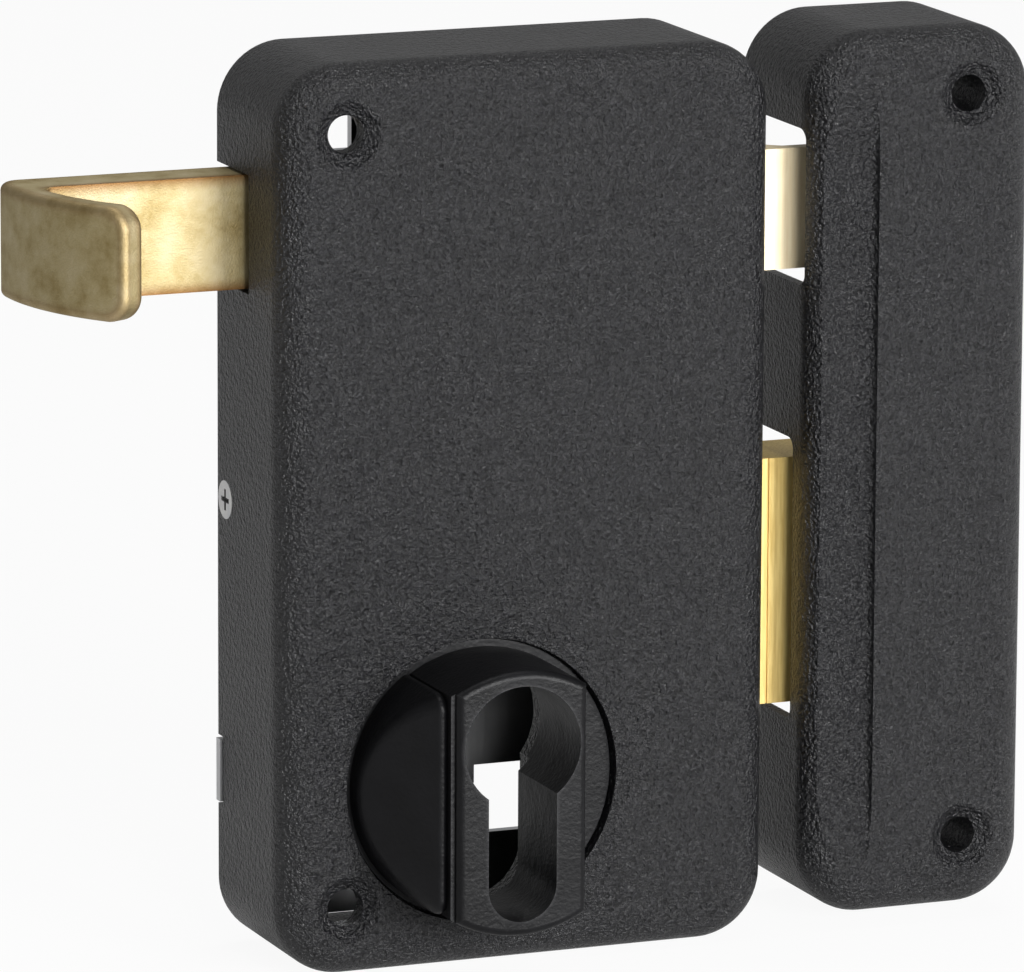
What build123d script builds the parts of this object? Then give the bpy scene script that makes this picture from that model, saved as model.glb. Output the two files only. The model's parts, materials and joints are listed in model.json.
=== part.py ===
from build123d import *
import os
from math import cos, radians, sin, tan

# A rim lock for the inside face of a door: a case with a sprung pull latch and a two-turn deadbolt,
# a raised guard round its profile cylinder hole, and the box keeper that takes both bolts.
# Millimetres. X points at the keeper, Y through the door, Z up.
# The origin is the axis of the cylinder hole where it meets the face of the door.

# Fits and shared small sizes
sliding_gap = 0.35
running_gap = 0.05
press_gap = 0.01
cut_overrun = 3.0
sheet = 1.5
countersink_angle = 45.0

# Lock case
case_width = 72.5
case_height = 127.0
case_depth = 25.7
axis_to_case_left = 29.3
axis_to_case_bottom = 34.4
case_corner_radius = 9.5
case_edge_radius = 4.6
case_wall = 2.5
case_left = -axis_to_case_left
case_right = case_left + case_width
case_bottom = -axis_to_case_bottom
case_top = case_bottom + case_height
case_front = -case_depth
inside_left = case_left + case_wall
inside_right = case_right - case_wall
inside_bottom = case_bottom + case_wall
inside_top = case_top - case_wall
inside_front = case_front + case_wall

# Fixing holes of the case, each at the bottom of a round dimple
fixing_from_left = 9.65
fixing_from_bottom = 9.8
fixing_from_top = 9.5
fixing_hole_radius = 2.6
dimple_radius = 4.6
dimple_depth = 2.0
dimple_lip = 0.8
fixing_pad_radius = 6.6
fixing_pad_height = 1.6
fixing_x = case_left + fixing_from_left
fixing_low_z = case_bottom + fixing_from_bottom
fixing_high_z = case_top - fixing_from_top

# Profile cylinder hole
profile_radius = 8.5
profile_slot_width = 10.0
profile_height = 33.0
profile_bottom = profile_radius - profile_height
profile_middle = profile_radius - profile_height / 2

# Round recess of the case and the floor behind it
recess_radius = 20.0
recess_depth = 3.0
recess_floor = 2.5
recess_wall = 2.5
recess_floor_y = case_front + recess_depth
recess_back_y = recess_floor_y + recess_floor
clearance_opening_width = 15.6
clearance_opening_margin = 1.3

# Cylinder guard: a base disc, a bar round the hole and a ramped wing on its left
guard_stand_off = 15.0
guard_gap = 0.4
guard_base_thickness = 1.5
guard_bar_width = 19.0
guard_bar_end_inset = 1.4
guard_edge_radius = 1.1
guard_tube_length = 14.2
wing_start_height = 1.7
wing_middle_height = 6.1
wing_middle_share = 0.48
wing_end_drop = 0.6
wing_rim_radius = 3.0
wing_crest_radius = 0.9
wing_inset = 0.6
groove_width = 0.3
groove_depth = 1.2
guard_front_y = case_front - guard_stand_off
guard_base_radius = recess_radius - guard_gap
guard_bar_end_radius = recess_radius - guard_bar_end_inset
wing_radius = guard_base_radius - wing_inset
guard_tube_back_y = guard_front_y + guard_tube_length

# Guard screws, driven from inside the case
guard_screw_radius = 1.5
guard_screw_head_radius = 2.75
guard_screw_head_height = 2.0
guard_screw_bite = 1.2
guard_screw_left_inset = 5.5
guard_screw_right_inset = 6.5
guard_screw_rise = 7.0

# Back plate
plate_gap = 0.45
plate_corner_radius = 6.8
plate_cut_right_of_hole = 9.5
plate_cut_below_hole = 6.2
cam_window_right = 17.0
cam_window_step_x = 8.4
cam_window_high_top = -12.0
cam_window_low_top = -14.6
cam_window_bottom = -21.9
cylinder_passage_radius = 10.0
cylinder_passage_slot = 13.0
cylinder_passage_bottom = -26.5
plate_hole_radius = 2.25
plate_hole_from_edge = 7.5
plate_hole_spacing = 110.0
flange_height = 12.0
flange_depth = 6.0
left_flange_z = 29.2
right_flange_z = 45.0
tab_bottom = -14.0
tab_height = 8.9
tab_proud = 0.3
side_screw_from_back = 2.9
side_screw_radius = 1.5
side_screw_head_radius = 2.7
side_screw_length = 4.6
cross_reach = 1.5
cross_width = 0.7
cross_depth = 1.2
plate_left = inside_left + plate_gap
plate_right = inside_right - plate_gap
plate_bottom = inside_bottom + plate_gap
plate_top = inside_top - plate_gap
plate_front_y = -sheet

# Latch: a brass head with a thin nose, hollowed behind, and a flat tail
latch_height = 17.0
latch_bottom = 59.0
latch_front_y = -17.0
latch_back_y = -4.2
latch_projection = 14.3
latch_head_length = 33.5
latch_nose_thickness = 2.3
latch_nose_length = 8.5
latch_bevel_sag = 1.6
latch_tail_height = 11.0
latch_tail_thickness = 4.0
latch_tail_length = 35.0
latch_travel = 14.0
latch_tip_x = case_right + latch_projection
latch_head_x = latch_tip_x - latch_head_length
latch_middle_z = latch_bottom + latch_height / 2
latch_top = latch_bottom + latch_height
latch_tail_left = latch_head_x - latch_tail_length

# Pull: a bar behind the latch tail that ends in a thin flange bent towards the user
pull_bottom = 60.0
pull_height = 15.8
pull_front_y = -10.0
pull_gap_to_plate = 0.3
pull_overlap = 17.0
pull_reach = 32.7
pull_flange_thickness = 4.2
pull_flange_depth = 17.6
pull_flange_reach = 8.4
pull_flange_lean = 26.0
pull_inner_sag = 1.6
pull_outer_sag = 3.0
pull_back_corner_radius = 3.2
pull_tip_corner_radius = 3.4
pull_edge_radius = 1.1
pull_slot_depth = 12.5
pull_pin_radius = 2.0
pull_pin_spacing = 8.0
pull_pin_inset = 4.5
pull_pin_proud = 0.5
pull_back_y = plate_front_y - pull_gap_to_plate
pull_inner_x = latch_tail_left + pull_overlap
pull_left_x = case_left - pull_reach
pull_top = pull_bottom + pull_height

# Latch lever: its fork takes a pin on the latch tail, its foot hangs over the cylinder cam
lever_swing = 40.0
lever_thickness = 2.2
lever_front_y = -18.5
lever_arm_width = 9.0
lever_foot_width = 6.0
lever_foot_length = 31.0
lever_tip_margin = 2.6
fork_slack = 0.3
lever_pin_radius = 1.6
lever_pin_from_tail_end = 22.0
lever_pin_x = latch_tail_left + lever_pin_from_tail_end
lever_pin_above_latch = 6.5
lever_pin_inset = 1.0
lever_pin_proud = 0.5
lever_reach = latch_travel / 2 / tan(radians(lever_swing / 2))
lever_pin_z = latch_bottom + lever_pin_above_latch
lever_pivot_x = lever_pin_x - latch_travel / 2
lever_pivot_z = lever_pin_z - lever_reach
lever_back_y = lever_front_y + lever_thickness

# Studs riveted into the back plate, and their clips
stud_radius = 2.0
stud_shoulder_radius = 3.2
lever_stud_tip = 1.6
clip_thickness = 0.8
clip_outer_radius = 3.8
clip_opening = 3.0

# Latch spring, the rod that guides it, and the bracket that carries the rod
rod_radius = 1.5
rod_y = -12.0
rod_z = 54.5
spring_wire_radius = 0.45
spring_coil_radius = 2.65
bracket_left = -8.0
bracket_foot_length = 12.0
bracket_bottom = 49.5
bracket_top = 58.8
bracket_front_y = -15.5
rod_tail = 2.0
rod_tip_past_lug = 3.5
lug_length = 3.5
lug_bottom = 50.5
lug_half_depth = 3.5
bracket_rivet_radius = 1.5
bracket_rivet_head_radius = 2.6
bracket_rivet_head_height = 1.0
bracket_rivet_inset = 2.4

# Deadbolt: a brass head on a steel tail plate
bolt_height = 35.2
bolt_bottom = -3.3
bolt_thickness = 11.7
bolt_front_y = -15.5
bolt_projection = 20.0
bolt_head_length = 33.2
bolt_travel = 20.0
bolt_edge_radius = 0.6
bolt_groove_from_tip = 16.2
bolt_groove_width = 0.3
bolt_groove_depth = 0.3
tail_thickness = 3.0
tail_bottom = 13.0
tail_top = 29.0
tail_left = -6.0
tail_in_head = 12.0
tail_slot_z = 21.5
guide_stud_x = 4.0
throw = bolt_travel / 2
cam_notch_width = 6.0
cam_notch_depth = 5.0
detent_notch_width = 6.0
detent_notch_depth = 1.6
detent_x = 1.0
tail_rivet_radius = 1.5
tail_rivet_inset = 4.0
bolt_back_y = bolt_front_y + bolt_thickness
bolt_tip_x = case_right + bolt_projection
bolt_head_x = bolt_tip_x - bolt_head_length
bolt_top = bolt_bottom + bolt_height
bolt_middle_y = (bolt_front_y + bolt_back_y) / 2

# Detent leaf spring on a shelf bent out of the back plate
leaf_thickness = 0.6
leaf_width = 6.0
leaf_rise = 0.25
leaf_free_end = 5.0
leaf_end_lift = 2.2
shelf_left = -21.0
shelf_length = 9.0
shelf_z = 33.0
shelf_front_y = -14.5
shelf_rivet_radius = 1.2
shelf_rivet_head_radius = 2.2
shelf_rivet_head_height = 0.9

# Hole in the keeper-side wall for the screw that holds the profile cylinder
cylinder_screw_hole_radius = 2.75
cylinder_screw_z = -17.5

# Keeper
keeper_gap = 6.0
keeper_width = 33.7
keeper_height = 125.8
keeper_rise = 1.5
keeper_corner_radius = 9.5
keeper_edge_radius = 5.0
keeper_wall = 1.5
keeper_front_wall = 3.0
keeper_step_from_left = 9.7
keeper_step_depth = 1.2
keeper_step_end = 8.0
keeper_step_run_out = 10.0
keeper_step_fillet = 1.1
keeper_hole_from_right = 10.0
keeper_hole_from_top = 9.4
keeper_hole_from_bottom = 10.4
keeper_boss_radius = 4.2
notch_above_bolt = 3.3
notch_below_bolt = 1.7
latch_notch_front_gap = 4.9
bolt_notch_front_gap = 3.4
notch_corner_radius = 1.6
keeper_left = case_right + keeper_gap
keeper_right = keeper_left + keeper_width
keeper_bottom = case_bottom + keeper_rise
keeper_top = keeper_bottom + keeper_height
keeper_front_y = case_front
keeper_hole_x = keeper_right - keeper_hole_from_right
keeper_hole_high_z = keeper_top - keeper_hole_from_top
keeper_hole_low_z = keeper_bottom + keeper_hole_from_bottom


def block(x_range, y_range, z_range):
    """A box between three pairs of coordinates."""
    spans = (x_range, y_range, z_range)
    middle = [(low + high) / 2 for low, high in spans]
    return Pos(*middle) * Box(*[abs(high - low) for low, high in spans])


def slab(sketch, back_y, front_y):
    """A sketch drawn in X and Z, extruded from back_y forward to front_y."""
    return extrude(Plane.XZ.offset(-back_y) * sketch, amount=back_y - front_y)


def column(sketch, bottom, top):
    """A sketch drawn in X and Y, extruded from bottom up to top."""
    return extrude(Pos(0, 0, bottom) * sketch, amount=top - bottom)


def pin_y(radius, x, z, back_y, front_y):
    """A round pin along Y."""
    return slab(Pos(x, z) * Circle(radius), back_y, front_y)


def pin_x(radius, y, z, left_x, right_x):
    """A round pin along X."""
    return Pos(left_x, y, z) * extrude(Plane.YZ * Circle(radius), amount=right_x - left_x)


def pin_z(radius, x, y, bottom, top):
    """A round pin along Z."""
    return column(Pos(x, y) * Circle(radius), bottom, top)


def framed(left, right, bottom, top, radius):
    """A rectangle between four edges, with rounded corners."""
    size = RectangleRounded(right - left, top - bottom, radius)
    return Pos((left + right) / 2, (bottom + top) / 2) * size


def cone_x(outer_radius, inner_radius, y, z, outer_x, inward):
    """A countersink or a countersunk head along X, widest at outer_x."""
    length = (outer_radius - inner_radius) * tan(radians(countersink_angle))
    plane = Plane(origin=(outer_x, y, z), x_dir=(0, 1, 0), z_dir=(inward, 0, 0))
    tip = Circle(inner_radius)
    return loft([plane * Circle(outer_radius), plane.offset(length) * tip])


def tray(left, right, bottom, top, front_y, corner, edge, wall, front_wall):
    """A box open at the back, with rounded corners and rounded front edges."""
    outer = slab(framed(left, right, bottom, top, corner), 0, front_y)
    outer = fillet(outer.faces().sort_by(Axis.Y)[0].edges(), edge)
    hollow_outline = framed(left + wall, right - wall, bottom + wall, top - wall, corner - wall)
    hollow = slab(hollow_outline, cut_overrun, front_y + front_wall)
    return outer - fillet(hollow.faces().sort_by(Axis.Y)[0].edges(), edge - wall)


def dimple(x, z, front_y):
    """The round dimple and through hole of one fixing screw, as a cutter."""
    bowl_radius = (dimple_radius**2 + dimple_depth**2) / (2 * dimple_depth)
    bowl = Pos(x, front_y + dimple_depth - bowl_radius, z) * Sphere(bowl_radius)
    return bowl + pin_y(fixing_hole_radius, x, z, cut_overrun, front_y)


def soften_dimples(body, places, front_y):
    """Round the lip of each dimple where it meets the front."""
    for x, z in places:
        lip = body.edges().filter_by(GeomType.CIRCLE)
        lip = lip.filter_by(lambda e: abs(e.radius - dimple_radius) < edge_match)
        lip = lip.filter_by(lambda e: abs(e.arc_center.Z - z) < edge_match)
        lip = lip.filter_by(lambda e: abs(e.arc_center.Y - front_y) < edge_match)
        body = fillet(lip, dimple_lip)
    return body


# How near an edge must be to a size to be picked by it
edge_match = 0.05

fixing_places = [(fixing_x, fixing_low_z), (fixing_x, fixing_high_z)]
keeper_places = [(keeper_hole_x, keeper_hole_low_z), (keeper_hole_x, keeper_hole_high_z)]
side_screw_places = [(case_left, 1, left_flange_z), (case_right, -1, right_flange_z)]
guard_screw_places = [
    (guard_screw_left_inset - recess_radius, profile_middle + guard_screw_rise),
    (guard_screw_left_inset - recess_radius, profile_middle - guard_screw_rise),
    (recess_radius - guard_screw_right_inset, profile_middle),
]


def profile(radius, slot_width, bottom):
    """The keyhole outline of a profile cylinder, in X and Z."""
    slot_end = bottom + slot_width / 2
    slot = Pos(0, slot_end / 2) * Rectangle(slot_width, -slot_end)
    return Circle(radius) + slot + Pos(0, slot_end) * Circle(slot_width / 2)


def clearance_profile():
    """The wider opening behind the guard's tube."""
    return profile(
        profile_radius + clearance_opening_margin,
        clearance_opening_width,
        profile_bottom - clearance_opening_margin,
    )


def make_lock_case():
    case = tray(
        case_left, case_right, case_bottom, case_top,
        case_front, case_corner_radius, case_edge_radius, case_wall, case_wall,
    )
    for x, z in fixing_places:
        case += pin_y(fixing_pad_radius, x, z, inside_front + fixing_pad_height, inside_front)
    for x, z in fixing_places:
        case -= dimple(x, z, case_front)
    case = soften_dimples(case, fixing_places, case_front)
    case += pin_y(recess_radius + recess_wall, 0, profile_middle, recess_back_y, inside_front)
    case -= pin_y(recess_radius, 0, profile_middle, recess_floor_y, case_front - cut_overrun)
    case -= slab(clearance_profile(), 0, case_front)
    for x, z in guard_screw_places:
        case -= pin_y(guard_screw_radius + sliding_gap, x, z, 0, case_front)
    for x, z in fixing_places:
        case -= pin_y(fixing_hole_radius, x, z, 0, case_front)
    return case - case_side_openings()


def case_side_openings():
    """What is cut through the two side walls: bolts, pull, screws and the plate's tab."""
    right_wall = (inside_right - cut_overrun, case_right + cut_overrun)
    left_wall = (case_left - cut_overrun, inside_left + cut_overrun)
    gap = sliding_gap
    cuts = block(
        right_wall,
        (latch_front_y - gap, latch_back_y + gap),
        (latch_bottom - gap, latch_top + gap),
    )
    cuts += block(
        right_wall,
        (bolt_front_y - gap, bolt_back_y + gap),
        (bolt_bottom - gap, bolt_top + gap),
    )
    cuts += block(
        left_wall,
        (-pull_slot_depth, cut_overrun),
        (pull_bottom - gap, pull_top + gap),
    )
    tab_gap = plate_gap
    cuts += block(
        left_wall,
        (plate_front_y - tab_gap, cut_overrun),
        (tab_bottom - tab_gap, tab_bottom + tab_height + tab_gap),
    )
    cuts += pin_x(cylinder_screw_hole_radius, bolt_middle_y, cylinder_screw_z, *right_wall)
    for face_x, inward, z in side_screw_places:
        wall = sorted((face_x - inward * cut_overrun, face_x + inward * (case_wall + cut_overrun)))
        cuts += pin_x(side_screw_radius + press_gap, -side_screw_from_back, z, *wall)
        cuts += cone_x(
            side_screw_head_radius + press_gap, side_screw_radius + press_gap,
            -side_screw_from_back, z, face_x, inward,
        )
    return cuts


def make_back_plate():
    outline = framed(plate_left, plate_right, plate_bottom, plate_top, plate_corner_radius)
    cut_right = fixing_x + plate_cut_right_of_hole
    reach = plate_top - plate_bottom
    high_cut = fixing_high_z - plate_cut_below_hole
    outline -= Pos(cut_right - reach / 2, high_cut + reach / 2) * Rectangle(reach, reach)
    outline -= Pos(fixing_x, fixing_low_z) * Circle(fixing_hole_radius + sliding_gap)
    outline -= cam_window()
    outline -= profile(cylinder_passage_radius, cylinder_passage_slot, cylinder_passage_bottom)
    plate = slab(outline, 0, plate_front_y)
    plate += block(
        (case_left - tab_proud, plate_left + sheet),
        (plate_front_y, 0),
        (tab_bottom, tab_bottom + tab_height),
    )
    plate += plate_flange(plate_left, plate_left + sheet, left_flange_z)
    plate += plate_flange(plate_right - sheet, plate_right, right_flange_z)
    plate += plate_shelf()
    for face_x, inward, z in side_screw_places:
        span = sorted((face_x, face_x + inward * (side_screw_length + cut_overrun)))
        plate -= pin_x(side_screw_radius + press_gap, -side_screw_from_back, z, *span)
    for x, z in stud_places():
        plate -= pin_y(stud_radius + press_gap, x, z, cut_overrun, plate_front_y - press_gap)
    for x, z in bracket_rivet_places():
        plate -= pin_y(bracket_rivet_radius + press_gap, x, z, cut_overrun, plate_front_y - press_gap)
    for z in plate_hole_heights():
        x = plate_right - plate_hole_from_edge
        plate -= pin_y(plate_hole_radius, x, z, cut_overrun, plate_front_y - cut_overrun)
    return plate


def cam_window():
    """The stepped opening that the cylinder's cam swings through."""
    points = [
        (-cam_window_right, cam_window_bottom),
        (cam_window_right, cam_window_bottom),
        (cam_window_right, cam_window_high_top),
        (cam_window_step_x, cam_window_high_top),
        (cam_window_step_x, cam_window_low_top),
        (-cam_window_right, cam_window_low_top),
    ]
    return make_face(Polyline(*points, close=True))


def plate_hole_heights():
    middle = (plate_top + plate_bottom) / 2
    return [middle - plate_hole_spacing / 2, middle + plate_hole_spacing / 2]


def plate_flange(left_x, right_x, z):
    """A lug bent forward from the plate's edge, threaded for a side screw."""
    lug = block(
        (left_x, right_x),
        (plate_front_y - flange_depth, plate_front_y),
        (z - flange_height / 2, z + flange_height / 2),
    )
    return lug


def plate_shelf():
    """The shelf that carries the detent leaf."""
    shelf = block(
        (shelf_left, shelf_left + shelf_length),
        (shelf_front_y, plate_front_y),
        (shelf_z, shelf_z + sheet),
    )
    return shelf - pin_z(
        shelf_rivet_radius + press_gap,
        shelf_left + shelf_length / 2, bolt_middle_y,
        shelf_z - cut_overrun, shelf_z + sheet + cut_overrun,
    )


def stud_places():
    return [(lever_pivot_x, lever_pivot_z), (guide_stud_x, tail_slot_z)]


def bracket_rivet_places():
    x = bracket_left - bracket_foot_length / 2
    return [(x, bracket_bottom + bracket_rivet_inset), (x, bracket_top - bracket_rivet_inset)]


def make_cylinder_guard():
    base = pin_y(guard_base_radius, 0, profile_middle, recess_floor_y, recess_floor_y - guard_base_thickness)
    bar_outline = Pos(0, profile_middle) * Circle(guard_bar_end_radius)
    bar_outline &= Pos(0, profile_middle) * Rectangle(guard_bar_width, recess_radius * 2)
    bar = slab(bar_outline, recess_floor_y, guard_front_y)
    bar = fillet(bar.faces().sort_by(Axis.Y)[0].edges(), guard_edge_radius)
    guard = base + bar + make_guard_wing()
    guard -= slab(
        profile(profile_radius, profile_slot_width, profile_bottom),
        cut_overrun, guard_front_y - cut_overrun,
    )
    guard -= slab(clearance_profile(), cut_overrun, guard_tube_back_y)
    for x, z in guard_screw_places:
        guard -= pin_y(guard_screw_radius + press_gap, x, z, cut_overrun, recess_floor_y - guard_screw_bite)
    return guard


def make_guard_wing():
    """The ramp that climbs from the recess's edge to the bar, with a groove beside the bar."""
    bar_left = -guard_bar_width / 2
    wing_right = bar_left - groove_width
    start = (-wing_radius, case_front - wing_start_height)
    middle = (start[0] + (wing_right - start[0]) * wing_middle_share, start[1] - wing_middle_height)
    end = (wing_right, guard_front_y + wing_end_drop)
    ramp = ThreePointArc(start, middle, end)
    back_y = recess_floor_y
    rest = Polyline(end, (wing_right, back_y), (start[0], back_y), start)
    wing = column(make_face(ramp + rest), profile_middle - recess_radius, profile_middle + recess_radius)
    wing &= pin_y(wing_radius, 0, profile_middle, back_y, guard_front_y)
    rim = wing.faces().sort_by(Axis.Y)[0].edges().sort_by(Axis.X)[:-1]
    wing = fillet(rim, wing_rim_radius)
    crest = wing.edges().filter_by(Axis.Z).sort_by(Axis.Y)[0]
    wing = fillet(crest, wing_crest_radius)
    filler_outline = Pos(0, profile_middle) * Circle(guard_bar_end_radius)
    filler_outline &= Pos(wing_right, profile_middle) * Rectangle(groove_width * 2, recess_radius * 2)
    return wing + slab(filler_outline, back_y, guard_front_y + groove_depth)


def make_guard_screws():
    screws = []
    for x, z in guard_screw_places:
        head_front = recess_back_y
        head = pin_y(guard_screw_head_radius, x, z, head_front + guard_screw_head_height, head_front)
        shank = pin_y(guard_screw_radius, x, z, head_front, recess_floor_y - guard_screw_bite)
        screws.append(head + shank)
    return screws


def countersunk_screw(radius, head_radius, length, y, z, outer_x, inward):
    """A countersunk screw along X, its head flush with outer_x, with a cross recess."""
    ends = sorted((outer_x, outer_x + inward * length))
    screw = pin_x(radius, y, z, *ends) + cone_x(head_radius, radius, y, z, outer_x, inward)
    arms = Rectangle(cross_reach * 2, cross_width) + Rectangle(cross_width, cross_reach * 2)
    plane = Plane(origin=(outer_x, y, z), x_dir=(0, 1, 0), z_dir=(inward, 0, 0))
    return screw - extrude(plane * arms, amount=cross_depth)


def make_case_screws():
    return [
        countersunk_screw(
            side_screw_radius, side_screw_head_radius, side_screw_length,
            -side_screw_from_back, z, face_x, inward,
        )
        for face_x, inward, z in side_screw_places
    ]


def make_latch_bolt():
    nose_back = latch_front_y + latch_nose_thickness
    bevel_end = (latch_tip_x - latch_nose_length, nose_back)
    bevel_start = (case_right + sliding_gap, latch_back_y)
    bevel = SagittaArc(bevel_end, bevel_start, latch_bevel_sag)
    outline = bevel + Polyline(
        bevel_start, (latch_head_x, latch_back_y), (latch_head_x, latch_front_y),
        (latch_tip_x, latch_front_y), (latch_tip_x, nose_back), bevel_end,
    )
    head = column(make_face(outline), latch_bottom, latch_top)
    tail = block(
        (latch_tail_left, latch_head_x + cut_overrun),
        (pull_front_y - latch_tail_thickness, pull_front_y),
        (latch_middle_z - latch_tail_height / 2, latch_middle_z + latch_tail_height / 2),
    )
    lug = block(
        (latch_head_x, latch_head_x + lug_length),
        (rod_y - lug_half_depth, rod_y + lug_half_depth),
        (lug_bottom, latch_bottom + cut_overrun),
    )
    lug_span = (latch_head_x - cut_overrun, latch_head_x + lug_length + cut_overrun)
    lug -= pin_x(rod_radius + sliding_gap, rod_y, rod_z, *lug_span)
    bolt = head + tail + lug
    for x, z in pull_pin_places():
        bolt -= pin_y(pull_pin_radius + press_gap, x, z, pull_back_y, latch_front_y)
    pin_back = pull_front_y - lever_pin_inset
    return bolt - pin_y(lever_pin_radius + press_gap, lever_pin_x, lever_pin_z, pin_back, latch_front_y)


def pull_pin_places():
    first = latch_tail_left + pull_pin_inset
    return [(first, latch_middle_z), (first + pull_pin_spacing, latch_middle_z)]


def arc_beside(start, end, sag):
    """An arc whose middle lies sag to the left of the way from start to end."""
    chord = (end[0] - start[0], end[1] - start[1])
    length = (chord[0] ** 2 + chord[1] ** 2) ** (1 / 2)
    middle = (
        (start[0] + end[0]) / 2 - chord[1] / length * sag,
        (start[1] + end[1]) / 2 + chord[0] / length * sag,
    )
    return ThreePointArc(start, middle, end)


def pull_tip():
    """The two corners of the flange's free edge, seen from above."""
    lean = radians(pull_flange_lean)
    across = (cos(lean), sin(lean))
    inner = (pull_left_x + pull_flange_thickness + pull_flange_reach, pull_front_y - pull_flange_depth)
    outer = tuple(c - pull_flange_thickness * a for c, a in zip(inner, across))
    return inner, outer


def make_pull_handle():
    inner_tip, outer_tip = pull_tip()
    inner_corner = (pull_left_x + pull_flange_thickness, pull_front_y)
    back_corner = (pull_left_x, pull_back_y)
    outline = arc_beside(back_corner, outer_tip, -pull_outer_sag)
    outline += Line(outer_tip, inner_tip)
    outline += arc_beside(inner_tip, inner_corner, pull_inner_sag)
    outline += Polyline(
        inner_corner, (pull_inner_x, pull_front_y), (pull_inner_x, pull_back_y), back_corner
    )
    face = make_face(outline)
    face = fillet(face.vertices().sort_by(Axis.X)[:1], pull_back_corner_radius)
    pull = column(face, pull_bottom, pull_top)
    tip = pull.faces().filter_by(GeomType.PLANE).sort_by(Axis.Y)[0]
    tip_corners = tip.edges().filter_by(lambda e: abs(e.tangent_at(0).Z) < edge_match)
    pull = fillet(tip_corners, pull_tip_corner_radius)
    outside = pull.edges().filter_by(lambda e: e.center().X < case_left)
    pull = fillet(outside, pull_edge_radius)
    for x, z in pull_pin_places():
        pull -= pin_y(pull_pin_radius + press_gap, x, z, cut_overrun, pull_front_y - cut_overrun)
    return pull


def make_pull_pins():
    back_y = pull_back_y
    front_y = pull_front_y - latch_tail_thickness - pull_pin_proud
    return [pin_y(pull_pin_radius, x, z, back_y, front_y) for x, z in pull_pin_places()]


def make_lever_pin():
    back_y = pull_front_y - lever_pin_inset
    return pin_y(lever_pin_radius, lever_pin_x, lever_pin_z, back_y, lever_front_y - lever_pin_proud)


def make_latch_lever():
    """Drawn upright about its pivot, then leaned towards the pin."""
    half_swing = radians(lever_swing / 2)
    longest_reach = lever_reach / cos(half_swing)
    slot_half = lever_pin_radius + fork_slack
    tip = longest_reach + lever_pin_radius + lever_tip_margin
    arm = Pos(0, tip / 2) * Rectangle(lever_arm_width, tip)
    foot = Pos(0, -lever_foot_length / 2) * Rectangle(lever_foot_width, lever_foot_length)
    foot += Pos(0, -lever_foot_length) * Circle(lever_foot_width / 2)
    outline = arm + foot + Circle(lever_arm_width / 2 + lever_tip_margin)
    slot_bottom = lever_reach - fork_slack
    outline -= Pos(0, slot_bottom) * Circle(slot_half)
    outline -= Pos(0, (slot_bottom + tip) / 2) * Rectangle(slot_half * 2, tip - slot_bottom)
    outline -= Circle(stud_radius + running_gap)
    place = Pos(lever_pivot_x, lever_pivot_z) * Rot(0, 0, -lever_swing / 2)
    return slab(place * outline, lever_back_y, lever_front_y)


def make_lever_stud():
    x, z = stud_places()[0]
    stud = pin_y(stud_radius, x, z, 0, lever_front_y - clip_thickness - lever_stud_tip)
    return stud + pin_y(stud_shoulder_radius, x, z, plate_front_y, lever_back_y + running_gap)


def tail_front_y():
    return bolt_middle_y - tail_thickness / 2


def tail_back_y():
    return bolt_middle_y + tail_thickness / 2


def make_guide_stud():
    x, z = stud_places()[1]
    tip = tail_front_y() - clip_thickness - lever_stud_tip
    stud = pin_y(stud_radius, x, z, 0, tip)
    return stud + pin_y(stud_shoulder_radius, x, z, plate_front_y, tail_back_y() + sliding_gap)


def make_stud_clips():
    """One open retaining ring in front of the lever, one in front of the deadbolt's tail."""
    ring = Circle(clip_outer_radius) - Circle(stud_radius + press_gap)
    ring -= Pos(0, -clip_outer_radius / 2) * Rectangle(clip_opening, clip_outer_radius)
    fronts = (lever_front_y - running_gap, tail_front_y() - sliding_gap)
    return [
        slab(Pos(x, z) * ring, back_y, back_y - clip_thickness)
        for (x, z), back_y in zip(stud_places(), fronts)
    ]


def make_spring_bracket():
    foot_left = bracket_left - bracket_foot_length
    foot = block((foot_left, bracket_left + sheet), (plate_front_y - sheet, plate_front_y), (bracket_bottom, bracket_top))
    wall = block((bracket_left, bracket_left + sheet), (bracket_front_y, plate_front_y), (bracket_bottom, bracket_top))
    bracket = foot + wall
    span = (bracket_left - cut_overrun, bracket_left + sheet + cut_overrun)
    bracket -= pin_x(rod_radius + press_gap, rod_y, rod_z, *span)
    for x, z in bracket_rivet_places():
        bracket -= pin_y(bracket_rivet_radius + press_gap, x, z, 0, plate_front_y - sheet - cut_overrun)
    return bracket


def make_bracket_rivets():
    head_back = plate_front_y - sheet
    rivets = []
    for x, z in bracket_rivet_places():
        shank = pin_y(bracket_rivet_radius, x, z, 0, head_back)
        head = pin_y(bracket_rivet_head_radius, x, z, head_back, head_back - bracket_rivet_head_height)
        rivets.append(shank + head)
    return rivets


def make_spring_rod():
    right_end = latch_head_x + lug_length + rod_tip_past_lug
    rod = pin_x(rod_radius, rod_y, rod_z, bracket_left - rod_tail, right_end)
    collar = pin_x(rod_radius * 2, rod_y, rod_z, bracket_left - rod_tail, bracket_left)
    return rod + collar


def make_latch_spring():
    """The closed outer form of the coil between the bracket and the latch's lug."""
    left_x, right_x = bracket_left + sheet, latch_head_x
    coil = pin_x(spring_coil_radius + spring_wire_radius, rod_y, rod_z, left_x, right_x)
    bore = pin_x(spring_coil_radius - spring_wire_radius, rod_y, rod_z, left_x, right_x)
    return coil - bore


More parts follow.
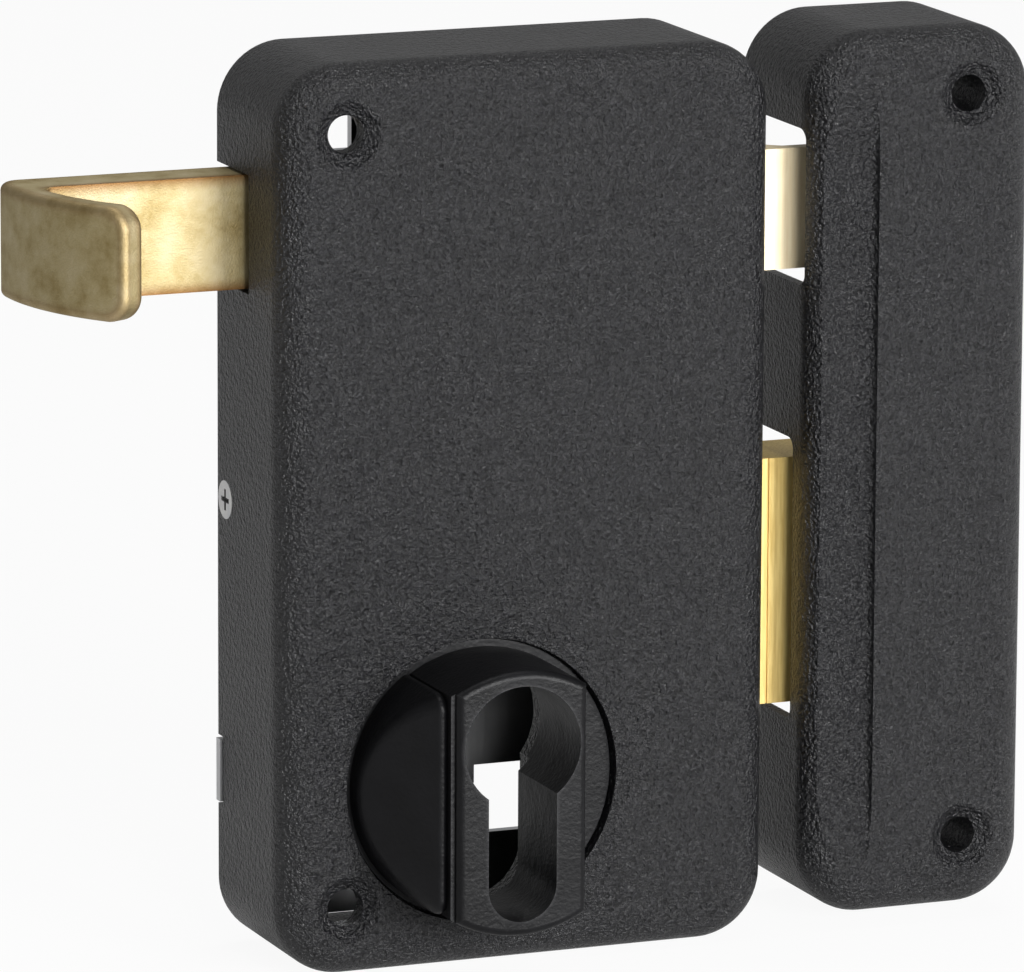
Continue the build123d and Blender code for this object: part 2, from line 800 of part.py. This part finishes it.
def make_deadbolt_head():
    head = block((bolt_head_x, bolt_tip_x), (bolt_front_y, bolt_back_y), (bolt_bottom, bolt_top))
    tip_edges = head.faces().sort_by(Axis.X)[-1].edges()
    head = fillet(tip_edges, bolt_edge_radius)
    groove_x = bolt_tip_x - bolt_groove_from_tip
    head -= block(
        (groove_x - bolt_groove_width / 2, groove_x + bolt_groove_width / 2),
        (bolt_front_y - cut_overrun, bolt_front_y + bolt_groove_depth),
        (bolt_bottom, bolt_top),
    )
    head -= block(
        (bolt_head_x - cut_overrun, bolt_head_x + tail_in_head + press_gap),
        (tail_front_y() - press_gap, tail_back_y() + press_gap),
        (tail_bottom - press_gap, tail_top + press_gap),
    )
    for x, z in tail_rivet_places():
        head -= pin_y(tail_rivet_radius + press_gap, x, z, cut_overrun, bolt_front_y - cut_overrun)
    return head


def tail_rivet_places():
    first = bolt_head_x + tail_rivet_inset
    return [(first, tail_slot_z), (first + tail_rivet_inset, tail_slot_z)]


def make_deadbolt_tail():
    right_x = bolt_head_x + tail_in_head
    outline = Pos((tail_left + right_x) / 2, (tail_bottom + tail_top) / 2)
    outline *= Rectangle(right_x - tail_left, tail_top - tail_bottom)
    slot_half = stud_radius + sliding_gap
    slot_start, slot_end = guide_stud_x, guide_stud_x + bolt_travel
    outline -= Pos((slot_start + slot_end) / 2, tail_slot_z) * SlotCenterToCenter(bolt_travel, slot_half * 2)
    for turn in range(3):
        cam_x = turn * throw
        cam_notch = Rectangle(cam_notch_width, cam_notch_depth * 2)
        outline -= Pos(cam_x, tail_bottom) * cam_notch
        outline -= detent_notch(detent_x + turn * throw)
    tail = slab(outline, tail_back_y(), tail_front_y())
    for x, z in tail_rivet_places():
        tail -= pin_y(tail_rivet_radius + press_gap, x, z, cut_overrun, bolt_front_y)
    return tail


def detent_notch(x):
    """A shallow V in the tail's top edge."""
    half = detent_notch_width / 2
    points = [(x - half, tail_top), (x + half, tail_top), (x, tail_top - detent_notch_depth)]
    return make_face(Polyline(*points, close=True))


def make_tail_rivets():
    return [
        pin_y(tail_rivet_radius, x, z, bolt_back_y, bolt_front_y)
        for x, z in tail_rivet_places()
    ]


def make_detent_leaf():
    """A strip that lies on the shelf and dips into the tail's first notch."""
    half = detent_notch_width / 2
    foot_z = shelf_z + sheet + leaf_thickness / 2
    dip_z = tail_top - detent_notch_depth + leaf_thickness / 2 + leaf_rise
    shoulder_z = tail_top + leaf_thickness / 2 + leaf_rise
    spine = Polyline(
        (shelf_left, foot_z),
        (shelf_left + shelf_length, foot_z),
        (detent_x - half, shoulder_z),
        (detent_x, dip_z),
        (detent_x + half, shoulder_z),
        (detent_x + half + leaf_free_end, shoulder_z + leaf_end_lift),
    )
    strip = trace(spine, leaf_thickness)
    leaf = slab(strip, bolt_middle_y + leaf_width / 2, bolt_middle_y - leaf_width / 2)
    hole_x = shelf_left + shelf_length / 2
    return leaf - pin_z(
        shelf_rivet_radius + press_gap, hole_x, bolt_middle_y,
        shelf_z, foot_z + cut_overrun,
    )


def make_leaf_rivet():
    x = shelf_left + shelf_length / 2
    seat = shelf_z + sheet + leaf_thickness
    shank = pin_z(shelf_rivet_radius, x, bolt_middle_y, shelf_z, seat)
    head = pin_z(shelf_rivet_head_radius, x, bolt_middle_y, seat, seat + shelf_rivet_head_height)
    tail = pin_z(shelf_rivet_head_radius, x, bolt_middle_y, shelf_z - shelf_rivet_head_height, shelf_z)
    return shank + head + tail


def make_keeper_cover():
    cover = tray(
        keeper_left, keeper_right, keeper_bottom, keeper_top,
        keeper_front_y, keeper_corner_radius, keeper_edge_radius, keeper_wall, keeper_front_wall,
    )
    cover -= keeper_step()
    for x, z in keeper_places:
        cover += pin_y(keeper_boss_radius, x, z, 0, keeper_front_y + keeper_wall)
        cover -= dimple(x, z, keeper_front_y)
    cover = soften_dimples(cover, keeper_places, keeper_front_y)
    cover -= keeper_notch(latch_front_y - latch_notch_front_gap, latch_bottom, latch_top)
    return cover - keeper_notch(bolt_front_y - bolt_notch_front_gap, bolt_bottom, bolt_top)


def keeper_step():
    """The strip along the keeper's left that lies lower than its front panel, as a cutter."""
    low_y = keeper_front_y + keeper_step_depth
    over_y = keeper_front_y - cut_overrun
    bottom = keeper_bottom + keeper_step_end
    top = keeper_top - keeper_step_end
    side = Polyline(
        (over_y, bottom), (keeper_front_y, bottom),
        (low_y, bottom + keeper_step_run_out), (low_y, top - keeper_step_run_out),
        (keeper_front_y, top), (over_y, top), close=True,
    )
    plane = Plane(origin=(keeper_left - cut_overrun, 0, 0), x_dir=(0, 1, 0), z_dir=(1, 0, 0))
    step = extrude(plane * make_face(side), amount=keeper_step_from_left + cut_overrun)
    foot = step.faces().sort_by(Axis.X)[-1].edges()
    foot = foot.filter_by(lambda e: e.center().Y > keeper_front_y + edge_match)
    return fillet(foot, keeper_step_fillet)


def keeper_notch(front_y, bolt_low, bolt_high):
    """One notch in the keeper's left wall, open to the back, as a cutter."""
    low, high = bolt_low - notch_below_bolt, bolt_high + notch_above_bolt
    notch = block(
        (keeper_left - cut_overrun, keeper_left + keeper_wall + keeper_edge_radius),
        (front_y, cut_overrun), (low, high),
    )
    corners = notch.edges().filter_by(Axis.X).filter_by(lambda e: e.center().Y < 0)
    return fillet(corners, notch_corner_radius)


makers = {
    "lock_case": make_lock_case,
    "back_plate": make_back_plate,
    "cylinder_guard": make_cylinder_guard,
    "guard_screws": make_guard_screws,
    "case_side_screws": make_case_screws,
    "latch_bolt": make_latch_bolt,
    "pull_handle": make_pull_handle,
    "pull_pins": make_pull_pins,
    "lever_pin": make_lever_pin,
    "latch_lever": make_latch_lever,
    "lever_stud": make_lever_stud,
    "guide_stud": make_guide_stud,
    "stud_clips": make_stud_clips,
    "spring_bracket": make_spring_bracket,
    "bracket_rivets": make_bracket_rivets,
    "spring_rod": make_spring_rod,
    "latch_spring": make_latch_spring,
    "deadbolt_head": make_deadbolt_head,
    "deadbolt_tail": make_deadbolt_tail,
    "tail_rivets": make_tail_rivets,
    "detent_leaf": make_detent_leaf,
    "leaf_rivet": make_leaf_rivet,
    "keeper_cover": make_keeper_cover,
}

os.makedirs("parts", exist_ok=True)
for name, make in makers.items():
    made = make()
    shape = Compound(children=made) if isinstance(made, list) else made
    export_step(shape, f"parts/{name}.step")
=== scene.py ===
import json
from math import cos, pi, radians, sin

import bpy
from mathutils import Matrix, Vector


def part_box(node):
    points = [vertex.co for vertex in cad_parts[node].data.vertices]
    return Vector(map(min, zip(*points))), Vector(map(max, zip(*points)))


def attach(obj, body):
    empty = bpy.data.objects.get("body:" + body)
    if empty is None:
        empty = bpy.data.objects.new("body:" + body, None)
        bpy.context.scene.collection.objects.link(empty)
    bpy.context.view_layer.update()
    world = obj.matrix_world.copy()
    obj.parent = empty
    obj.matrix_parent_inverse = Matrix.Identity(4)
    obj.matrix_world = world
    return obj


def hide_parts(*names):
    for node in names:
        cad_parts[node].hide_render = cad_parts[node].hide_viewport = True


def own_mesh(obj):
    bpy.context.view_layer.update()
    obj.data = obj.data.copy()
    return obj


# Finishes, light and camera for a black rim lock with brass bolts. Metres, in the same frame as the solids.

# Camera, found by fitting the lock's edges
camera_azimuth = -22.0
camera_elevation = 11.8
camera_roll = 0.263
camera_distance = 1.2252
camera_target = Vector((0.00934, -0.013, 0.03025))
camera_lens = 310.8
camera_sensor = 36.0

# Floor and light
floor_height = -0.0346
floor_size = 8.0
floor_whiteness = 0.93
background_light = 0.10
background_mirrored = 0.26
lamps = {
    "key": {"place": (0.55, -1.3, 0.18), "size": 0.6, "watts": 27.0},
    "front": {"place": (-0.1, -1.6, 0.45), "size": 0.5, "watts": 14.0},
    "overhead": {"place": (0.1, 0.2, 1.5), "size": 1.0, "watts": 9.0},
}

# Share of the rays kept inside the solid, at an outer edge and on an open face
edge_inside_share = 0.45
face_inside_share = 0.95

# Latch spring
coil_radius = 0.00265
coil_wire = 0.00045
coil_turns = 15
coil_steps = 20

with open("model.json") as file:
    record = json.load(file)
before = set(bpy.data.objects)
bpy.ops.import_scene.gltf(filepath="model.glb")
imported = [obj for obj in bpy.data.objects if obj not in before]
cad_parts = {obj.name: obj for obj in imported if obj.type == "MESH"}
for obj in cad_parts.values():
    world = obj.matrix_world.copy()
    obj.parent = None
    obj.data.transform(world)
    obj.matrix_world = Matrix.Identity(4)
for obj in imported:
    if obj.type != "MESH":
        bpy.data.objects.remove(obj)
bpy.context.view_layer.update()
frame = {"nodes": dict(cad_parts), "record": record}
nodes = frame["nodes"]


def start_material(name):
    """A new node material, with its tree and its main shader."""
    material = bpy.data.materials.new(name)
    material.use_nodes = True
    tree = material.node_tree
    return material, tree, tree.nodes["Principled BSDF"]


def add(tree, kind, **settings):
    """A new node with the given input and property values."""
    node = tree.nodes.new(kind)
    for key, value in settings.items():
        if key in node.inputs:
            node.inputs[key].default_value = value
        else:
            setattr(node, key, value)
    return node


def place_on(tree, stretch=(1.0, 1.0, 1.0)):
    """Object coordinates in metres, stretched along an axis for brushed marks."""
    source = add(tree, "ShaderNodeTexCoord")
    mapping = add(tree, "ShaderNodeMapping", Scale=stretch)
    tree.links.new(source.outputs["Object"], mapping.inputs["Vector"])
    return mapping.outputs["Vector"]


def noise(tree, place, grains_per_metre, detail=3.0, roughness=0.5):
    """A 0 to 1 cloud pattern."""
    node = add(tree, "ShaderNodeTexNoise", Scale=grains_per_metre, Detail=detail, Roughness=roughness)
    tree.links.new(place, node.inputs["Vector"])
    return node.outputs["Fac"]


def cells(tree, place, cells_per_metre):
    """Rounded pits side by side, as in orange-peel paint."""
    node = add(tree, "ShaderNodeTexVoronoi", feature="SMOOTH_F1", Scale=cells_per_metre)
    tree.links.new(place, node.inputs["Vector"])
    return node.outputs["Distance"]


def ramp(tree, factor, stops):
    """A colour ramp from (position, colour) stops."""
    node = add(tree, "ShaderNodeValToRGB")
    elements = node.color_ramp.elements
    while len(elements) < len(stops):
        elements.new(0.5)
    for element, (position, colour) in zip(elements, stops):
        element.position = position
        element.color = (*colour, 1.0)
    tree.links.new(factor, node.inputs["Fac"])
    return node.outputs["Color"]


def spread(tree, factor, low, high):
    """A 0 to 1 factor spread between two values."""
    node = add(tree, "ShaderNodeMapRange")
    node.inputs["To Min"].default_value = low
    node.inputs["To Max"].default_value = high
    tree.links.new(factor, node.inputs["Value"])
    return node.outputs["Result"]


def blend_colours(tree, factor, colour_a, colour_b):
    """Colour a where the factor is 0, colour b where it is 1."""
    node = add(tree, "ShaderNodeMix", data_type="RGBA")
    # The mix node repeats its socket names for each data type, so colours go by number
    tree.links.new(factor, node.inputs["Factor"])
    tree.links.new(colour_a, node.inputs[6])
    tree.links.new(colour_b, node.inputs[7])
    return node.outputs[2]


def emboss(tree, shader, heights):
    """Chained bumps, each a (height, strength, depth in metres)."""
    normal = None
    for height, strength, depth in heights:
        node = add(tree, "ShaderNodeBump", Strength=strength, Distance=depth)
        tree.links.new(height, node.inputs["Height"])
        if normal:
            tree.links.new(normal, node.inputs["Normal"])
        normal = node.outputs["Normal"]
    tree.links.new(normal, shader.inputs["Normal"])


def edges_of(tree, reach):
    """1 on flat faces, falling towards 0 within reach of an outer edge."""
    within = add(tree, "ShaderNodeAmbientOcclusion", inside=True, Distance=reach)
    node = add(tree, "ShaderNodeMapRange")
    node.inputs["From Min"].default_value = edge_inside_share
    node.inputs["From Max"].default_value = face_inside_share
    tree.links.new(within.outputs["AO"], node.inputs["Value"])
    return node.outputs["Result"]


def paint_case():
    """Black paint with a leathery orange-peel skin."""
    material, tree, shader = start_material("black_peel_paint")
    place = place_on(tree)
    grain = noise(tree, place, 2200.0, detail=2.0, roughness=0.6)
    colour = ramp(tree, grain, [(0.35, (0.002, 0.002, 0.0025)), (0.65, (0.010, 0.010, 0.012))])
    tree.links.new(colour, shader.inputs["Base Color"])
    patches = noise(tree, place, 60.0, detail=4.0)
    tree.links.new(spread(tree, patches, 0.28, 0.35), shader.inputs["Roughness"])
    leather = cells(tree, place, 1500.0)
    emboss(tree, shader, [(leather, 0.8, 0.00045), (grain, 1.0, 0.00070)])
    shader.inputs["Specular IOR Level"].default_value = 0.45
    return material


def paint_guard():
    """Thinner, smoother black paint over a casting, a little worn."""
    material, tree, shader = start_material("black_cast_paint")
    place = place_on(tree)
    patches = noise(tree, place, 160.0, detail=6.0, roughness=0.6)
    flat = ramp(tree, patches, [(0.35, (0.002, 0.002, 0.0025)), (0.75, (0.005, 0.005, 0.006))])
    rubbed = ramp(tree, patches, [(0.35, (0.010, 0.010, 0.011)), (0.75, (0.030, 0.030, 0.032))])
    colour = blend_colours(tree, edges_of(tree, 0.0006), rubbed, flat)
    tree.links.new(colour, shader.inputs["Base Color"])
    tree.links.new(spread(tree, patches, 0.34, 0.48), shader.inputs["Roughness"])
    cast = noise(tree, place, 1700.0, detail=4.0)
    waves = noise(tree, place, 260.0, detail=3.0)
    emboss(tree, shader, [(waves, 0.25, 0.00040), (cast, 0.35, 0.00020)])
    shader.inputs["Specular IOR Level"].default_value = 0.18
    return material


def zinc_sheet():
    """Zinc-plated sheet with faint rolling marks."""
    material, tree, shader = start_material("zinc_sheet")
    marks = noise(tree, place_on(tree, (1.0, 1.0, 0.06)), 2200.0, detail=4.0)
    blotches = noise(tree, place_on(tree), 90.0, detail=5.0)
    cool = ramp(tree, blotches, [(0.3, (0.40, 0.41, 0.43)), (0.7, (0.58, 0.58, 0.58))])
    tree.links.new(cool, shader.inputs["Base Color"])
    tree.links.new(spread(tree, marks, 0.28, 0.46), shader.inputs["Roughness"])
    emboss(tree, shader, [(marks, 0.12, 0.00006)])
    shader.inputs["Metallic"].default_value = 1.0
    return material


def zinc_screw():
    """Bright zinc plating on turned and pressed screws."""
    material, tree, shader = start_material("zinc_screw")
    blotches = noise(tree, place_on(tree), 500.0, detail=5.0)
    colour = ramp(tree, blotches, [(0.3, (0.50, 0.50, 0.52)), (0.75, (0.68, 0.67, 0.64))])
    tree.links.new(colour, shader.inputs["Base Color"])
    tree.links.new(spread(tree, blotches, 0.24, 0.40), shader.inputs["Roughness"])
    emboss(tree, shader, [(blotches, 0.15, 0.00005)])
    shader.inputs["Metallic"].default_value = 1.0
    return material


def brushed_brass(name, pale, deep):
    """Drawn brass with fine upright marks and a light tarnish."""
    material, tree, shader = start_material(name)
    marks = noise(tree, place_on(tree, (1.0, 1.0, 0.05)), 3000.0, detail=5.0)
    tarnish = noise(tree, place_on(tree), 120.0, detail=5.0, roughness=0.6)
    clean = ramp(tree, marks, [(0.35, deep), (0.65, pale)])
    dull_colour = tuple(0.72 * value for value in deep)
    dull = ramp(tree, marks, [(0.35, dull_colour), (0.65, deep)])
    patchy = ramp(tree, tarnish, [(0.52, (0.0, 0.0, 0.0)), (0.72, (0.45, 0.45, 0.45))])
    colour = blend_colours(tree, patchy, clean, dull)
    tree.links.new(colour, shader.inputs["Base Color"])
    tree.links.new(spread(tree, tarnish, 0.40, 0.55), shader.inputs["Roughness"])
    emboss(tree, shader, [(marks, 0.14, 0.00005)])
    shader.inputs["Metallic"].default_value = 0.3
    return material


def cast_brass():
    """Sand-cast brass, grainy on the faces, with painted shade along the edges: a darker brown stands in
    for the dark reflections on the rounded edges.
    """
    material, tree, shader = start_material("cast_brass")
    place = place_on(tree)
    stain = noise(tree, place, 170.0, detail=7.0, roughness=0.65)
    bright = ramp(tree, stain, [
        (0.30, (0.28, 0.21, 0.085)),
        (0.50, (0.41, 0.34, 0.185)),
        (0.72, (0.50, 0.43, 0.28)),
    ])
    # Painted shade: a darker brown copy of the brass for the rounded edges, in place of the darker
    # reflections they show.
    painted_shade_edges = ramp(tree, stain, [(0.3, (0.11, 0.04, 0.007)), (0.7, (0.24, 0.11, 0.03))])
    colour = blend_colours(tree, edges_of(tree, 0.0022), painted_shade_edges, bright)
    tree.links.new(colour, shader.inputs["Base Color"])
    tree.links.new(spread(tree, stain, 0.52, 0.66), shader.inputs["Roughness"])
    sand = noise(tree, place, 3600.0, detail=3.0)
    lumps = noise(tree, place, 420.0, detail=3.0)
    emboss(tree, shader, [(lumps, 0.16, 0.00035), (sand, 0.5, 0.00010)])
    shader.inputs["Metallic"].default_value = 1.0
    return material


def plain_steel(name, dark, light, grains_per_metre):
    """Bare steel with a fine grain."""
    material, tree, shader = start_material(name)
    grain = noise(tree, place_on(tree), grains_per_metre, detail=5.0)
    colour = ramp(tree, grain, [(0.3, dark), (0.7, light)])
    tree.links.new(colour, shader.inputs["Base Color"])
    tree.links.new(spread(tree, grain, 0.26, 0.44), shader.inputs["Roughness"])
    emboss(tree, shader, [(grain, 0.15, 0.00005)])
    shader.inputs["Metallic"].default_value = 1.0
    return material


def finish_for_slots():
    """One material for each material slot of the record."""
    black = paint_case()
    latch = brushed_brass("pale_brass", (0.95, 0.82, 0.56), (0.88, 0.72, 0.45))
    deadbolt = brushed_brass("bolt_brass", (0.95, 0.72, 0.27), (0.76, 0.53, 0.16))
    return {
        "case_paint": black,
        "keeper_paint": black,
        "guard_paint": paint_guard(),
        "plate_zinc": zinc_sheet(),
        "screw_zinc": zinc_screw(),
        "latch_brass": latch,
        "deadbolt_brass": deadbolt,
        "pull_brass": cast_brass(),
        "inner_steel": plain_steel("turned_steel", (0.32, 0.32, 0.34), (0.46, 0.46, 0.47), 600.0),
        "spring_steel": plain_steel("spring_steel", (0.20, 0.20, 0.22), (0.33, 0.33, 0.35), 900.0),
    }


def dress_nodes(finishes):
    """Give every piece the finish that the record names for it."""
    for part in frame["record"]["subparts"]:
        node = nodes[part["node"]]
        for index in range(len(node.material_slots)):
            node.material_slots[index].material = finishes[part["material_slot"]]


def wind_latch_spring(finishes):
    """The coil itself, in place of the plain tube that stands for it."""
    low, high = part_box("latch_spring")
    centre_y, centre_z = (low[1] + high[1]) / 2, (low[2] + high[2]) / 2
    start_x, end_x = low[0] + coil_wire, high[0] - coil_wire
    curve = bpy.data.curves.new("latch_spring_coil", "CURVE")
    curve.dimensions = "3D"
    curve.bevel_depth = coil_wire
    curve.bevel_resolution = 3
    spline = curve.splines.new("POLY")
    count = coil_turns * coil_steps + 1
    spline.points.add(count - 1)
    for index, point in enumerate(spline.points):
        share = index / (count - 1)
        turn = 2 * pi * coil_turns * share
        x = start_x + (end_x - start_x) * share
        point.co = (x, centre_y + coil_radius * cos(turn), centre_z + coil_radius * sin(turn), 1.0)
    path = bpy.data.objects.new("latch_spring_path", curve)
    mesh = bpy.data.meshes.new_from_object(path)
    bpy.data.objects.remove(path)
    mesh.materials.clear()
    mesh.materials.append(finishes["spring_steel"])
    mesh.shade_smooth()
    coil = bpy.data.objects.new("latch_spring_coil", mesh)
    bpy.context.scene.collection.objects.link(coil)
    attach(coil, "case")
    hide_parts("latch_spring")
    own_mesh(coil)


def seen_directly(tree):
    """1 for camera rays, a little less for glossy and transmission rays, else 0."""
    path = add(tree, "ShaderNodeLightPath")
    total = path.outputs["Is Camera Ray"]
    for name in ("Is Glossy Ray", "Is Transmission Ray"):
        softened = add(tree, "ShaderNodeMath", operation="MULTIPLY")
        softened.inputs[1].default_value = background_mirrored
        tree.links.new(path.outputs[name], softened.inputs[0])
        highest = add(tree, "ShaderNodeMath", operation="MAXIMUM")
        tree.links.new(total, highest.inputs[0])
        tree.links.new(softened.outputs[0], highest.inputs[1])
        total = highest.outputs[0]
    return total


def lay_floor():
    """A wide white floor that takes the object's shadow."""
    bpy.ops.mesh.primitive_plane_add(size=floor_size, location=(0, 0, floor_height))
    floor = bpy.context.object
    floor.name = "floor"
    material = bpy.data.materials.new("white_floor")
    material.use_nodes = True
    tree = material.node_tree
    tree.nodes.clear()
    lit = add(tree, "ShaderNodeBsdfDiffuse", Color=(0.9, 0.9, 0.9, 1.0))
    plain = add(tree, "ShaderNodeEmission", Color=(1.0, 1.0, 1.0, 1.0), Strength=1.0)
    share = add(tree, "ShaderNodeMath", operation="MULTIPLY")
    share.inputs[1].default_value = floor_whiteness
    mix = add(tree, "ShaderNodeMixShader")
    output = add(tree, "ShaderNodeOutputMaterial")
    tree.links.new(seen_directly(tree), share.inputs[0])
    tree.links.new(share.outputs[0], mix.inputs["Fac"])
    tree.links.new(lit.outputs[0], mix.inputs[1])
    tree.links.new(plain.outputs[0], mix.inputs[2])
    tree.links.new(mix.outputs[0], output.inputs["Surface"])
    floor.data.materials.append(material)


def set_world():
    """White where it is seen or mirrored, softer where it lights the object."""
    world = bpy.data.worlds.new("studio")
    world.use_nodes = True
    tree = world.node_tree
    background = tree.nodes["Background"]
    background.inputs["Color"].default_value = (1.0, 1.0, 1.0, 1.0)
    strength = spread(tree, seen_directly(tree), background_light, 1.0)
    tree.links.new(strength, background.inputs["Strength"])
    bpy.context.scene.world = world


def hang_lamps():
    """Square lamps, each aimed at the object."""
    for name, lamp in lamps.items():
        data = bpy.data.lights.new(name, "AREA")
        data.size = lamp["size"]
        data.energy = lamp["watts"]
        light = bpy.data.objects.new(name, data)
        light.location = lamp["place"]
        aim = camera_target - Vector(lamp["place"])
        light.rotation_euler = aim.to_track_quat("-Z", "Y").to_euler()
        bpy.context.scene.collection.objects.link(light)


def set_camera():
    """The camera that took the photo."""
    azimuth, elevation, roll = (radians(a) for a in (camera_azimuth, camera_elevation, camera_roll))
    back = Vector((sin(azimuth) * cos(elevation), -cos(azimuth) * cos(elevation), sin(elevation)))
    right = Vector((cos(azimuth), sin(azimuth), 0.0))
    up = back.cross(right)
    rolled_right = cos(roll) * right + sin(roll) * up
    rolled_up = cos(roll) * up - sin(roll) * right
    data = bpy.data.cameras.new("camera")
    data.sensor_fit = "HORIZONTAL"
    data.sensor_width = camera_sensor
    data.lens = camera_lens
    camera = bpy.data.objects.new("camera", data)
    turn = Matrix((rolled_right, rolled_up, back)).transposed()
    camera.matrix_world = Matrix.Translation(camera_target + camera_distance * back) @ turn.to_4x4()
    bpy.context.scene.collection.objects.link(camera)
    bpy.context.scene.camera = camera


finishes = finish_for_slots()
dress_nodes(finishes)
wind_latch_spring(finishes)
lay_floor()
set_world()
hang_lamps()
set_camera()
bpy.context.scene.view_settings.view_transform = "Standard"
